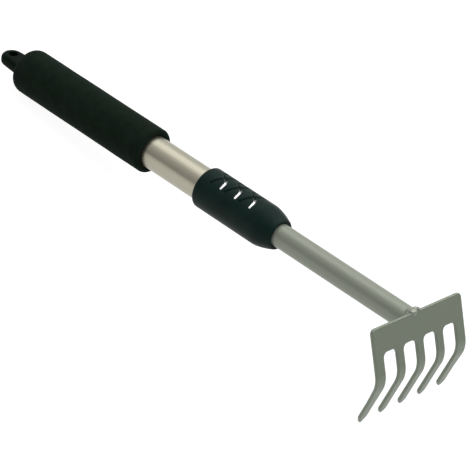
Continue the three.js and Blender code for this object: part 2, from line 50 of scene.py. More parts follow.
def tool_matrix():
    """Takes tool-frame millimetres to frame metres."""
    along = Vector(JOINTS["shaft_turn"]["axis"]).normalized()
    across = Vector((0, 1, 0))
    up = along.cross(across)
    origin = Vector(JOINTS["shaft_turn"]["pos_m"]) - along * HEAD_STATION / 1000
    turn = Matrix((along, across, up)).transposed().to_4x4()
    return Matrix.Translation(origin) @ turn @ Matrix.Scale(0.001, 4)


TOOL = tool_matrix()
TO_TOOL = TOOL.inverted()


def extent(node):
    """Lowest and highest corner of a CAD node in the tool frame."""
    points = [TO_TOOL @ v.co for v in frame["nodes"][node].data.vertices]
    low = Vector([min(p[i] for p in points) for i in range(3)])
    high = Vector([max(p[i] for p in points) for i in range(3)])
    return low, high


# ------------------------------------------------------------------ dimensions, mm
GRIP_LOW, GRIP_HIGH = extent("foam_grip")
GRIP_REAR = GRIP_LOW.x
GRIP_FRONT = GRIP_HIGH.x
GRIP_RADIUS = GRIP_HIGH.y
GRIP_BORE = 12.8
GRIP_REAR_REACH = 6
GRIP_REAR_ROUND = 4.3
GRIP_FRONT_ROUND = 2.5
GRIP_MOUTH = 1.2                 # how far the front rim's inner chamfer opens
FOAM_SHRINK = 0.12               # the skin's mean depth below the sleeve's full radius
FOAM_WAVE = 0.11
FOAM_DIMPLE = 0.035

PLUG_LOW, PLUG_HIGH = extent("hang_plug")
FLANGE_RADIUS = 12.4
FLANGE_PROUD = 1.2
FLANGE_DEPTH = 3.6
FLANGE_ROUND = 2
PLUG_SPIGOT_RADIUS = 11.0
PLUG_WALL = 2.4
LUG_CENTRE = -157.5
LUG_THICKNESS = 9
LUG_BASE_HALF_WIDTH = 11.2
LUG_WAIST = 3
LUG_ROUND = 3.6
EYELET_RADIUS = 3.5
LUG_VOXEL = 0.45
RIM_VOXEL = 0.3

COLLAR_LOW, COLLAR_HIGH = extent("lock_collar")
COLLAR_REAR = COLLAR_LOW.x
COLLAR_FRONT = COLLAR_HIGH.x
COLLAR_RADIUS = COLLAR_HIGH.y
COLLAR_SHOULDER = 115.9
COLLAR_MOUTH_RADIUS = 11.3
COLLAR_BULGE = 0.6
COLLAR_BORE = 12.8
SHAFT_BORE = 9.15
MARK_CENTRES = [72.4, 87.1, 101.8]
MARK_REACH = 10.5
MARK_TURN = 0.6 / COLLAR_RADIUS
MARK_SPREAD = 5.1
MARK_CURL = 2.6
MARK_SLANT = 0.51
MARK_WINDOW = 7.5                # a mark's grooves stay within this of its centre
CURLED_DEPTH = 0.95
CURLED_REAR = 1.0                # groove edges and wall widths, across the groove
CURLED_REAR_WALL = 1.3
CURLED_FRONT = 0.9
CURLED_FRONT_WALL = 0.6
CURLED_END_ROUND = 1.2
STRAIGHT_DEPTH = 1.1
STRAIGHT_HALF_WIDTH = 1.15
STRAIGHT_WALL = 0.5
STRAIGHT_END_ROUND = 0.8
POLISH_START = 0.9               # the polished arm begins this far round from the crossing
POLISH_LEAST = 0.05
COLLAR_REAR_ROUND = 1.2
THREAD_END = 103
CONE_END = 116.8
CONE_END_RADIUS = 10.7

SHEET = 2.5
HEAD_LEAN = math.radians(21.65)
TINE_BACK_LEAN = math.radians(18.6)
HEAD_WIDTH = 89.4
HEAD_TOP = 11.1
HEAD_CORNER = 3.5
SLOT_TOP = 7.8
SLOT_WIDTH = 12.6
SLOT_CORNER = 3.8
TINE_COUNT = 5
TINE_PITCH = 19.7
BEND_START = 21.7
BEND_RADIUS = 17.3
BEND_END = BEND_START + (HEAD_LEAN + TINE_BACK_LEAN) * (BEND_RADIUS + SHEET)
TINE_LOWER = 32.7
END_TINE_EXTRA = 0.8
END_TINE_TAPER = 0.75            # share of an end tine's extra width lost below the bend
TINE_TAPER = 0.3
TAPER_LENGTH = 12.5              # below the bend, down to where a tine has its lower width
POINT_LENGTH = 3.7
END_POINT_LENGTH = 5.5
POINT_HALF_WIDTH = 1.2
END_POINT_HALF_WIDTH = 0.9
POINT_SHOULDER = 3
EDGE_BEVEL = 0.75

WELD_RIPPLES = 30
WELD_RING_RADIUS = 9.5
WELD_RIPPLE = 1.75
WELD_STAND_OFF = 0.9
WELD_VOXEL = 0.4
WELD_LUMPS = [                   # place from the plate's top edge, and half sizes
    ((-3.6, -1.8, -1.6), (3.4, 4.6, 2.8)),
    ((-1.4, -2.6, -0.4), (2.9, 3.5, 2.1)),
    ((0.2, -2.8, -1.3), (1.5, 2.4, 2.3)),
    ((-0.9, 2.9, -0.1), (1.6, 1.5, 1.4)),
]

# ------------------------------------------------------------------ node helpers


def node(tree, kind, **inputs):
    """Adds a shader node; each input is a value or another node's output socket."""
    made = tree.nodes.new("ShaderNode" + kind)
    for name, value in inputs.items():
        socket = made.inputs[name.replace("_", " ")]
        if isinstance(value, bpy.types.NodeSocket):
            tree.links.new(value, socket)
        else:
            socket.default_value = value
    return made


def new_material(name):
    """A node material with its tree and its principled shader."""
    made = bpy.data.materials.new(name)
    made.use_nodes = True
    tree = made.node_tree
    return made, tree, tree.nodes["Principled BSDF"]


def tool_coordinates(tree):
    """Position on the resting tool in its own frame, in millimetres."""
    place = node(tree, "TexCoord")
    turned = node(tree, "Mapping", Vector=place.outputs["Object"])
    turned.inputs["Scale"].default_value = (1000, 1000, 1000)
    turned.inputs["Rotation"].default_value = TO_TOOL.to_quaternion().to_euler()
    turned.inputs["Location"].default_value = TO_TOOL.translation
    return turned.outputs["Vector"]


def stretched(tree, place, x, y, z):
    return node(tree, "Mapping", Vector=place, Scale=(x, y, z)).outputs["Vector"]


def noise_at(tree, place, scale, detail=3.0, roughness=0.55):
    made = node(tree, "TexNoise", Vector=place, Scale=scale, Detail=detail, Roughness=roughness)
    return made.outputs["Fac"]


def spread(tree, value, low, high, out_low, out_high):
    made = node(tree, "MapRange", Value=value)
    made.inputs["From Min"].default_value = low
    made.inputs["From Max"].default_value = high
    made.inputs["To Min"].default_value = out_low
    made.inputs["To Max"].default_value = out_high
    return made.outputs["Result"]


def blended(tree, factor, first, second):
    made = node(tree, "Mix")
    made.data_type = "RGBA"
    tree.links.new(factor, made.inputs["Factor"])
    for index, value in ((6, first), (7, second)):
        if isinstance(value, bpy.types.NodeSocket):
            tree.links.new(value, made.inputs[index])
        else:
            made.inputs[index].default_value = (*value, 1)
    return made.outputs[2]


def sum_of(tree, first, second):
    made = node(tree, "Math")
    made.operation = "ADD"
    tree.links.new(first, made.inputs[0])
    tree.links.new(second, made.inputs[1])
    return made.outputs[0]


def bump(tree, shader, height, distance, strength=1.0):
    made = node(tree, "Bump", Height=height, Distance=distance, Strength=strength)
    tree.links.new(made.outputs["Normal"], shader.inputs["Normal"])


# ------------------------------------------------------------------ materials


def foam_material():
    """Closed-cell foam: fine pores, a dull skin and a faint sheen."""
    made, tree, shader = new_material("grip_foam_cells")
    place = tool_coordinates(tree)
    cells = node(tree, "TexVoronoi", Vector=place, Scale=1.5)
    fine = noise_at(tree, place, 2.6, 4.0, 0.7)
    cloud = noise_at(tree, place, 0.12, 3.0)
    tone = spread(tree, cloud, 0.35, 0.65, 0.0, 1.0)
    base = blended(tree, tone, (0.0030, 0.0072, 0.0042), (0.0048, 0.0100, 0.0064))
    speck = spread(tree, fine, 0.52, 0.75, 0.0, 0.6)
    color = blended(tree, speck, base, (0.012, 0.019, 0.0145))
    tree.links.new(color, shader.inputs["Base Color"])
    shader.inputs["Metallic"].default_value = 0.0
    rough = spread(tree, fine, 0.3, 0.7, 0.78, 0.95)
    tree.links.new(rough, shader.inputs["Roughness"])
    shader.inputs["Specular IOR Level"].default_value = 0.03
    shader.inputs["Sheen Weight"].default_value = 0.012
    shader.inputs["Sheen Roughness"].default_value = 0.5
    shader.inputs["Sheen Tint"].default_value = (0.75, 0.9, 0.8, 1)
    height = sum_of(tree, cells.outputs["Distance"], fine)
    bump(tree, shader, height, 0.00022, 0.7)
    return made


def plastic_material(name, dark, light, rubbed, shine):
    """Satin moulded plastic with a fine spark-eroded grain and rubbed highs."""
    made, tree, shader = new_material(name)
    place = tool_coordinates(tree)
    grain = noise_at(tree, place, 2.2, 4.0, 0.6)
    cloud = noise_at(tree, place, 0.09, 2.0)
    rub = noise_at(tree, stretched(tree, place, 0.08, 0.6, 0.6), 1.0, 4.0, 0.65)
    tone = spread(tree, cloud, 0.35, 0.65, 0.0, 1.0)
    base = blended(tree, tone, dark, light)
    worn = spread(tree, rub, 0.56, 0.74, 0.0, 0.5)
    color = blended(tree, worn, base, rubbed)
    tree.links.new(color, shader.inputs["Base Color"])
    shader.inputs["Metallic"].default_value = 0.0
    rough = spread(tree, grain, 0.3, 0.7, 0.36, 0.5)
    tree.links.new(rough, shader.inputs["Roughness"])
    shader.inputs["Specular IOR Level"].default_value = shine
    bump(tree, shader, grain, 0.00005, 0.55)
    return made


def polished_plastic_material():
    """The same plastic where the mould was polished, inside the collar's grooves."""
    made, tree, shader = new_material("dark_plastic_polished")
    place = tool_coordinates(tree)
    grain = noise_at(tree, place, 1.2, 3.0, 0.5)
    color = blended(tree, grain, (0.0034, 0.0085, 0.0072), (0.0055, 0.012, 0.0105))
    tree.links.new(color, shader.inputs["Base Color"])
    shader.inputs["Metallic"].default_value = 0.0
    rough = spread(tree, grain, 0.3, 0.7, 0.13, 0.2)
    tree.links.new(rough, shader.inputs["Roughness"])
    shader.inputs["IOR"].default_value = 1.9
    shader.inputs["Specular IOR Level"].default_value = 1.0
    shader.inputs["Coat Weight"].default_value = 1.0
    shader.inputs["Coat Roughness"].default_value = 0.12
    shader.inputs["Coat IOR"].default_value = 2.2
    bump(tree, shader, grain, 0.00003, 0.3)
    return made


def aluminium_material():
    """Drawn tube with a champagne satin anodising: long fine draw lines."""
    made, tree, shader = new_material("anodised_aluminium_drawn")
    place = tool_coordinates(tree)
    lines = noise_at(tree, stretched(tree, place, 0.012, 3.2, 3.2), 1.0, 5.0, 0.6)
    cloud = noise_at(tree, place, 0.05, 2.0)
    light = blended(tree, lines, (0.30, 0.285, 0.225), (0.44, 0.425, 0.35))
    tone = spread(tree, cloud, 0.4, 0.62, 0.0, 0.35)
    color = blended(tree, tone, light, (0.36, 0.345, 0.265))
    tree.links.new(color, shader.inputs["Base Color"])
    shader.inputs["Metallic"].default_value = 1.0
    rough = spread(tree, lines, 0.3, 0.7, 0.27, 0.4)
    tree.links.new(rough, shader.inputs["Roughness"])
    bump(tree, shader, lines, 0.00004, 0.35)
    return made


def paint_material(name, dark, light, cloudy):
    """Satin metallic paint, grey-green silver: flakes, orange peel, faint runs."""
    made, tree, shader = new_material(name)
    place = tool_coordinates(tree)
    flakes = node(tree, "TexVoronoi", Vector=place, Scale=5.0)
    peel = noise_at(tree, place, 0.55, 2.0, 0.5)
    cloud = noise_at(tree, place, 0.07, 3.0)
    sparkle = node(tree, "SeparateColor", Color=flakes.outputs["Color"]).outputs["Red"]
    base = blended(tree, sparkle, dark, light)
    tone = spread(tree, cloud, 0.38, 0.62, 0.0, 0.5)
    color = blended(tree, tone, base, cloudy)
    tree.links.new(color, shader.inputs["Base Color"])
    shader.inputs["Metallic"].default_value = 0.55
    rough = spread(tree, sum_of(tree, sparkle, peel), 0.4, 1.4, 0.34, 0.5)
    tree.links.new(rough, shader.inputs["Roughness"])
    shader.inputs["Coat Weight"].default_value = 0.12
    shader.inputs["Coat Roughness"].default_value = 0.3
    bump(tree, shader, peel, 0.00012, 0.5)
    return made


def plain_inside_material(name, dark, light, roughness, metallic, scale):
    """A finish for pieces inside the handle: two tones and a fine grain."""
    made, tree, shader = new_material(name)
    place = tool_coordinates(tree)
    grain = noise_at(tree, place, scale, 4.0, 0.6)
    color = blended(tree, spread(tree, grain, 0.35, 0.65, 0.0, 1.0), dark, light)
    tree.links.new(color, shader.inputs["Base Color"])
    shader.inputs["Metallic"].default_value = metallic
    rough = spread(tree, grain, 0.3, 0.7, roughness - 0.06, roughness + 0.06)
    tree.links.new(rough, shader.inputs["Roughness"])
    bump(tree, shader, grain, 0.00005, 0.5)
    return made


FOAM = foam_material()
DARK_PLASTIC = plastic_material(
    "dark_plastic_moulded",
    (0.0022, 0.0098, 0.0078),
    (0.0038, 0.0128, 0.0102),
    (0.008, 0.0165, 0.0145),
    0.06,
)
# Painted shade: the lug's copy of the collar's dark plastic is mixed darker to stand for shade on
# the lug; the plug is moulded in the same plastic as the collar.
LUG_PLASTIC_PAINTED_SHADE = plastic_material(
    "dark_plastic_lug_painted_shade",
    (0.0012, 0.0048, 0.0026),
    (0.002, 0.006, 0.0036),
    (0.005, 0.0095, 0.007),
    0.02,
)
POLISHED_PLASTIC = polished_plastic_material()
ALUMINIUM = aluminium_material()
PAINT = paint_material(
    "grey_paint_head", (0.128, 0.151, 0.112), (0.174, 0.199, 0.153), (0.144, 0.164, 0.128)
)
# Painted light: the tube's copy of the head's grey paint is mixed lighter to stand for the brighter
# light on the tube; tube and head carry one paint.
TUBE_PAINT_PAINTED_LIGHT = paint_material(
    "grey_paint_tube_painted_light", (0.160, 0.178, 0.142), (0.212, 0.229, 0.187), (0.188, 0.198, 0.162)
)
# Painted light: the weld's copy of the grey paint is mixed lighter still, standing for the light on
# its lumps and bright top; the weld is painted over with the same paint.
WELD_PAINT_PAINTED_LIGHT = paint_material(
    "grey_paint_weld_painted_light", (0.165, 0.181, 0.148), (0.228, 0.244, 0.205), (0.190, 0.203, 0.168)
)
PALE_PLASTIC = plain_inside_material(
    "pale_plastic_moulded", (0.55, 0.53, 0.47), (0.66, 0.64, 0.58), 0.5, 0.0, 0.8
)
RUBBER = plain_inside_material(
    "black_rubber_matte", (0.012, 0.012, 0.012), (0.022, 0.022, 0.021), 0.85, 0.0, 1.6
)
ZINC = plain_inside_material(
    "zinc_steel_plated", (0.42, 0.43, 0.45), (0.55, 0.56, 0.58), 0.3, 1.0, 0.6
)

# ------------------------------------------------------------------ mesh helpers


def add_piece(name, points, faces, body, material):
    """Makes an object from tool-frame points and hangs it on a CAD body."""
    mesh = bpy.data.meshes.new(name)
    mesh.from_pydata([TOOL @ Vector(p) for p in points], [], faces)
    shape = bmesh.new()
    shape.from_mesh(mesh)
    bmesh.ops.remove_doubles(shape, verts=shape.verts, dist=1e-7)
    bmesh.ops.recalc_face_normals(shape, faces=shape.faces)
    shape.to_mesh(mesh)
    shape.free()
    mesh.polygons.foreach_set("use_smooth", [True] * len(mesh.polygons))
    mesh.materials.append(material)
    piece = bpy.data.objects.new(name, mesh)
    bpy.context.scene.collection.objects.link(piece)
    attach(piece, body)
    return piece


def apply_modifiers(piece):
    """Bakes the piece's modifiers into its mesh."""
    seen = bpy.context.evaluated_depsgraph_get()
    mesh = bpy.data.meshes.new_from_object(piece.evaluated_get(seen))
    piece.modifiers.clear()
    piece.data = mesh


def sharp_by_angle(piece, degrees):
    """Smooth shading that stays crisp over edges steeper than the angle."""
    shape = bmesh.new()
    shape.from_mesh(piece.data)
    for edge in shape.edges:
        if len(edge.link_faces) == 2:
            edge.smooth = edge.calc_face_angle() < math.radians(degrees)
    shape.to_mesh(piece.data)
    shape.free()


def lathe(profile, turns, shape=None):
    """Points and faces of a closed profile of (station, radius), turned about the axis.

    Turns are angles from straight up towards -Y, and shape may change a radius.
    """
    points = []
    for station, radius in profile:
        for turn in turns:
            size = shape(station, radius, turn) if shape else radius
            points.append((station, -size * math.sin(turn), size * math.cos(turn)))
    count = len(turns)
    faces = []
    for i in range(len(profile)):
        for k in range(count):
            here = i * count + k
            beside = i * count + (k + 1) % count
            ahead = (i + 1) % len(profile) * count
            faces.append((here, beside, ahead + (k + 1) % count, ahead + k))
    return points, faces


def even_turns(count):
    """Angles that divide a full turn evenly."""
    return [2 * math.pi * k / count for k in range(count)]


def steps_between(start, end, count):
    return [start + (end - start) * i / count for i in range(count + 1)]


def arc(x, radius, reach, rise, start, end, steps):
    """(station, radius) points of an elliptic arc between two directions in degrees."""
    turns = [math.radians(a) for a in steps_between(start, end, steps)]
    return [(x + reach * math.cos(a), radius + rise * math.sin(a)) for a in turns]


def filleted(corners, steps=6):
    """Rounds every (y, s, radius) corner of a closed outline."""
    outline = []
    for i, (y, s, radius) in enumerate(corners):
        corner = Vector((y, s))
        if radius == 0:
            outline.append((y, s))
            continue
        back = (Vector(corners[i - 1][:2]) - corner).normalized()
        ahead = (Vector(corners[(i + 1) % len(corners)][:2]) - corner).normalized()
        half = back.angle(ahead) / 2
        centre = corner + (back + ahead).normalized() * radius / math.sin(half)
        first = corner + back * radius / math.tan(half) - centre
        last = corner + ahead * radius / math.tan(half) - centre
        start = math.atan2(first.y, first.x)
        sweep = math.atan2(last.y, last.x) - start
        sweep = (sweep + math.pi) % (2 * math.pi) - math.pi
        for k in range(steps + 1):
            turn = start + sweep * k / steps
            outline.append((centre.x + radius * math.cos(turn), centre.y + radius * math.sin(turn)))
    return outline


# ------------------------------------------------------------------ grip and hang lug


def foam_skin():
    """Foam sleeve: rounded ends, a slightly uneven body and a soft front rim."""
    rear = (GRIP_REAR + GRIP_REAR_REACH, GRIP_RADIUS - GRIP_REAR_ROUND)
    front = (GRIP_FRONT - GRIP_FRONT_ROUND, GRIP_RADIUS - GRIP_FRONT_ROUND)
    body = steps_between(rear[0], front[0], 110)[1:-1]
    profile = [
        (GRIP_REAR, GRIP_BORE),
        *arc(*rear, GRIP_REAR_REACH, GRIP_REAR_ROUND, 180, 90, 10),
        *[(x, GRIP_RADIUS) for x in body],
        *arc(*front, GRIP_FRONT_ROUND, GRIP_FRONT_ROUND, 90, 0, 8),
        (GRIP_FRONT - 0.25, GRIP_BORE + GRIP_MOUTH),
        (GRIP_FRONT - GRIP_MOUTH / 2, GRIP_BORE),
    ]

    def uneven(station, radius, turn):
        if radius < GRIP_BORE + 1:
            return radius
        spot = Vector((station * 0.055, 1.3 * math.sin(turn), 1.3 * math.cos(turn)))
        dimple = Vector((station * 0.5, 8 * math.sin(turn), 8 * math.cos(turn)))
        swell = FOAM_WAVE * noise.noise(spot) + FOAM_DIMPLE * noise.noise(dimple)
        return radius - FOAM_SHRINK + swell

    points, faces = lathe(profile, even_turns(144), uneven)
    piece = add_piece("foam_grip_skin", points, faces, "handle", FOAM)
    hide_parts("foam_grip")


def stacked_faces(rings, count):
    """Faces of a solid whose rings of `count` points lie one above the other."""
    faces = [tuple(range(count)), tuple(range((rings - 1) * count, rings * count))]
    for i in range(rings - 1):
        for k in range(count):
            here = i * count + k
            beside = i * count + (k + 1) % count
            faces.append((here, beside, beside + count, here + count))
    return faces


def cushioned(outline, half, radius, steps=6):
    """Points and faces of an (x, y) outline whose top and bottom edges are rounded."""
    levels = []
    for turn in steps_between(-math.pi / 2, math.pi / 2, 2 * steps):
        inset = radius * (1 - math.cos(turn))
        side = math.copysign(half - radius, turn) if turn else 0
        levels.append((side + radius * math.sin(turn), inset))
    count = len(outline)
    points = []
    for z, inset in levels:
        for k, (x, y) in enumerate(outline):
            before = Vector(outline[k - 1])
            after = Vector(outline[(k + 1) % count])
            along = (after - before).normalized()
            points.append((x - along.y * inset, y + along.x * inset, z))
    return points, stacked_faces(len(levels), count)


def prism(outline, low, high):
    """Points and faces of an (x, y) outline raised from z low to z high."""
    count = len(outline)
    points = [(x, y, low) for x, y in outline] + [(x, y, high) for x, y in outline]
    return points, stacked_faces(2, count)


def merged(*parts):
    """One list of points and faces from several."""
    points = []
    faces = []
    for part_points, part_faces in parts:
        base = len(points)
        points.extend(part_points)
        faces.extend(tuple(base + i for i in face) for face in part_faces)
    return points, faces


def fuse(piece, voxel, smoothing):
    """Melts overlapping closed shells of a piece into one soft-edged skin."""
    remesh = piece.modifiers.new("fuse", "REMESH")
    remesh.mode = "VOXEL"
    remesh.voxel_size = voxel / 1000
    soften = piece.modifiers.new("soften", "SMOOTH")
    soften.factor = 0.5
    soften.iterations = smoothing
    apply_modifiers(piece)
    piece.data.polygons.foreach_set("use_smooth", [True] * len(piece.data.polygons))


def hang_lug():
    """Moulded end plug with its flat lug; the eyelet runs through the lug."""
    tip_radius = LUG_CENTRE - PLUG_LOW.x
    flange_rear = GRIP_REAR - FLANGE_PROUD
    flange_front = GRIP_REAR + FLANGE_DEPTH
    waist = (GRIP_REAR - LUG_WAIST, LUG_BASE_HALF_WIDTH - 1)
    lean = math.asin(tip_radius / math.hypot(waist[0] - LUG_CENTRE, waist[1]))
    reach = math.atan2(waist[1], waist[0] - LUG_CENTRE) + math.pi / 2 - lean
    turns = steps_between(reach, 2 * math.pi - reach, 40)
    rounded = [
        (LUG_CENTRE + tip_radius * math.cos(a), tip_radius * math.sin(a)) for a in turns
    ]
    base = GRIP_REAR + 2
    outline = [
        (base, LUG_BASE_HALF_WIDTH + 1.6),
        (GRIP_REAR - 0.6, LUG_BASE_HALF_WIDTH + 1.2),
        (GRIP_REAR - 2, LUG_BASE_HALF_WIDTH - 0.2),
        waist,
        *rounded,
        (waist[0], -waist[1]),
        (GRIP_REAR - 2, 0.2 - LUG_BASE_HALF_WIDTH),
        (GRIP_REAR - 0.6, -LUG_BASE_HALF_WIDTH - 1.2),
        (base, -LUG_BASE_HALF_WIDTH - 1.6),
    ]
    lug = cushioned(outline, LUG_THICKNESS / 2, LUG_ROUND)
    plug = lathe(
        [
            (flange_rear, 0.01),
            (flange_rear, FLANGE_RADIUS - FLANGE_ROUND),
            (GRIP_REAR + 0.3, FLANGE_RADIUS),
            (flange_front, FLANGE_RADIUS),
            (flange_front, 0.01),
        ],
        even_turns(48),
    )
    spigot = lathe(
        [
            (base, PLUG_SPIGOT_RADIUS - PLUG_WALL),
            (base, PLUG_SPIGOT_RADIUS),
            (PLUG_HIGH.x, PLUG_SPIGOT_RADIUS),
            (PLUG_HIGH.x, PLUG_SPIGOT_RADIUS - PLUG_WALL),
        ],
        even_turns(48),
    )
    points, faces = merged(lug, plug, spigot)
    piece = add_piece("hang_lug", points, faces, "handle", LUG_PLASTIC_PAINTED_SHADE)
    fuse(piece, LUG_VOXEL, 12)
    hole = [
        (LUG_CENTRE + EYELET_RADIUS * math.cos(a), EYELET_RADIUS * math.sin(a))
        for a in even_turns(40)
    ]
    points, faces = prism(hole, -LUG_THICKNESS, LUG_THICKNESS)
    drill = add_piece("eyelet_drill", points, faces, "handle", LUG_PLASTIC_PAINTED_SHADE)
    bore = piece.modifiers.new("eyelet", "BOOLEAN")
    bore.operation = "DIFFERENCE"
    bore.solver = "EXACT"
    bore.object = drill
    rim = piece.modifiers.new("rim", "REMESH")
    rim.mode = "VOXEL"
    rim.voxel_size = RIM_VOXEL / 1000
    soften = piece.modifiers.new("soften", "SMOOTH")
    soften.iterations = 3
    apply_modifiers(piece)
    bpy.data.objects.remove(drill)
    piece.data.polygons.foreach_set("use_smooth", [True] * len(piece.data.polygons))
    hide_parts("hang_plug")


# ------------------------------------------------------------------ twist collar


def curled_groove(offset, round_way):
    """Depth of the groove that curls forward: a broad polished rear wall, a steep front one."""
    line = MARK_SPREAD * math.tanh(round_way / MARK_CURL)
    slope = MARK_SPREAD / MARK_CURL / math.cosh(round_way / MARK_CURL) ** 2
    away = (offset - line) / math.hypot(1, slope)
    past_end = max(abs(round_way) - MARK_REACH + CURLED_END_ROUND, 0)
    broad = (away + CURLED_REAR - past_end) / CURLED_REAR_WALL
    steep = (CURLED_FRONT - past_end - away) / CURLED_FRONT_WALL
    return CURLED_DEPTH * min(max(min(broad, steep), 0), 1)


def straight_groove(offset, round_way):
    """Depth of the straight groove that crosses it: narrow, with steep walls."""
    away = (offset + MARK_SLANT * round_way) / math.hypot(1, MARK_SLANT)
    past_end = max(abs(round_way) - MARK_REACH + STRAIGHT_END_ROUND, 0)
    share = (STRAIGHT_HALF_WIDTH - math.hypot(away, past_end)) / STRAIGHT_WALL
    return STRAIGHT_DEPTH * min(max(share, 0), 1)


def ways_round(turn):
    """Distance round the collar from the middle of each of the two rows of marks."""
    return [
        ((turn - middle + math.pi) % (2 * math.pi) - math.pi) * COLLAR_RADIUS
        for middle in (MARK_TURN, MARK_TURN + math.pi)
    ]


def collar_surface(station, radius, turn):
    """Sinks the two rows of crossed grooves into the collar's round face."""
    if radius < COLLAR_RADIUS - 0.01:
        return radius
    deepest = 0
    for round_way in ways_round(turn):
        if abs(round_way) > MARK_REACH + 1:
            continue
        for centre in MARK_CENTRES:
            offset = station - centre
            if abs(offset) < MARK_WINDOW:
                deepest = max(
                    deepest,
                    curled_groove(offset, round_way),
                    straight_groove(offset, round_way),
                )
    return radius - deepest


def polished(place):
    """Whether a place on the collar lies in the polished arm of a curled groove."""
    turn = math.atan2(-place.y, place.z)
    for round_way in ways_round(turn):
        if not POLISH_START < round_way < MARK_REACH:
            continue
        for centre in MARK_CENTRES:
            offset = place.x - centre
            crossing = straight_groove(offset, round_way)
            if curled_groove(offset, round_way) > max(crossing, POLISH_LEAST):
                return True
    return False


def collar_turns():
    """Angles round the collar, close together where the grooves are."""
    fine = [math.radians(a) for a in steps_between(-44, 44, 110)]
    coarse = [math.radians(a) for a in steps_between(44, 136, 26)[1:-1]]
    half = fine + coarse
    return half + [a + math.pi for a in half]


def collar_shell():
    """Twist collar: grooved body, bulged nose, and its mouth round the inner tube."""
    grooved = steps_between(MARK_CENTRES[0] - 7, MARK_CENTRES[-1] + 7, 220)
    rear = (COLLAR_REAR + COLLAR_REAR_ROUND, COLLAR_RADIUS - COLLAR_REAR_ROUND)
    plain_rear = COLLAR_REAR + 2 * COLLAR_REAR_ROUND
    nose = []
    for share in steps_between(0.08, 0.97, 14):
        station = COLLAR_SHOULDER + (COLLAR_FRONT - COLLAR_SHOULDER) * share
        bulge = 4 * COLLAR_BULGE * share * (1 - share)
        straight = COLLAR_RADIUS + (COLLAR_MOUTH_RADIUS - COLLAR_RADIUS) * share
        nose.append((station, straight + bulge))
    profile = [
        (COLLAR_REAR + 1, COLLAR_BORE),
        (COLLAR_REAR, COLLAR_BORE + 0.5),
        *arc(*rear, COLLAR_REAR_ROUND, COLLAR_REAR_ROUND, 180, 90, 6),
        *[(x, COLLAR_RADIUS) for x in steps_between(plain_rear, grooved[0] - 1, 4)],
        *[(x, COLLAR_RADIUS) for x in grooved],
        (grooved[-1] + 2, COLLAR_RADIUS),
        (COLLAR_SHOULDER - 1.6, COLLAR_RADIUS),
        (COLLAR_SHOULDER - 0.6, COLLAR_RADIUS - 0.02),
        (COLLAR_SHOULDER + 0.2, COLLAR_RADIUS - 0.1),
        *nose,
        (COLLAR_FRONT - 0.12, COLLAR_MOUTH_RADIUS - 0.12),
        (COLLAR_FRONT, COLLAR_MOUTH_RADIUS - 0.45),
        (COLLAR_FRONT, SHAFT_BORE + 0.45),
        (COLLAR_FRONT - 0.4, SHAFT_BORE + 0.1),
        (CONE_END, SHAFT_BORE + 0.1),
        (CONE_END, CONE_END_RADIUS),
        (THREAD_END, COLLAR_BORE),
    ]
    points, faces = lathe(profile, collar_turns(), collar_surface)
    piece = add_piece("collar_shell", points, faces, "collar", DARK_PLASTIC)
    piece.data.materials.append(POLISHED_PLASTIC)
    for face in piece.data.polygons:
        middle = TO_TOOL @ face.center
        sunk = COLLAR_RADIUS - math.hypot(middle.y, middle.z)
        if 0.08 < sunk < 1.5 and polished(middle):
            face.material_index = 1
    sharp_by_angle(piece, 50)
    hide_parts("lock_collar")


# ------------------------------------------------------------------ rake head


def on_sheet(y, s, behind):
    """Tool-frame point at distance s down the sheet's front face and `behind` it."""
    size = BEND_RADIUS + SHEET
    turn = min(max(s - BEND_START, 0) / size, HEAD_LEAN + TINE_BACK_LEAN)
    way = HEAD_LEAN - turn
    above = min(s, BEND_START)
    below = max(s - BEND_END, 0)
    x = HEAD_STATION + above * math.sin(HEAD_LEAN) - size * math.cos(HEAD_LEAN)
    z = -above * math.cos(HEAD_LEAN) - size * math.sin(HEAD_LEAN)
    x += (size - behind) * math.cos(way) - below * math.sin(TINE_BACK_LEAN)
    z += (size - behind) * math.sin(way) - below * math.cos(TINE_BACK_LEAN)
    return x, y, z


def head_outline():
    """Flat outline of plate and tines as (y, s) points, before bending."""
    half = HEAD_WIDTH / 2
    corners = [(half, -HEAD_TOP, HEAD_CORNER), (-half, -HEAD_TOP, HEAD_CORNER)]
    tine = (TINE_PITCH - SLOT_WIDTH) / 2
    end_extra = HEAD_WIDTH / 2 - 2 * TINE_PITCH - tine
    for i in range(TINE_COUNT):
        centre = (i - (TINE_COUNT - 1) / 2) * TINE_PITCH
        first = i == 0
        last = i == TINE_COUNT - 1
        left = -half if first else centre - tine
        right = half if last else centre + tine
        left_low = left + (END_TINE_TAPER * end_extra if first else TINE_TAPER)
        right_low = right - (END_TINE_TAPER * end_extra if last else TINE_TAPER)
        tip = BEND_END + TINE_LOWER + (END_TINE_EXTRA if first else 0)
        taper = tip - (END_POINT_LENGTH if first else POINT_LENGTH)
        middle = (left_low + right_low) / 2
        nose = END_POINT_HALF_WIDTH if first else POINT_HALF_WIDTH
        if not first:
            corners.append((left, SLOT_TOP, SLOT_CORNER))
        corners.append((left, BEND_END - 2, 0))
        corners.append((left_low, BEND_END + TAPER_LENGTH, 0))
        corners.append((left_low, taper, POINT_SHOULDER))
        corners.append((middle - nose, tip, nose * 0.95))
        corners.append((middle + nose, tip, nose * 0.95))
        corners.append((right_low, taper, POINT_SHOULDER))
        corners.append((right_low, BEND_END + TAPER_LENGTH, 0))
        corners.append((right, BEND_END - 2, 0))
        if not last:
            corners.append((right, SLOT_TOP, SLOT_CORNER))
    return filleted(corners)


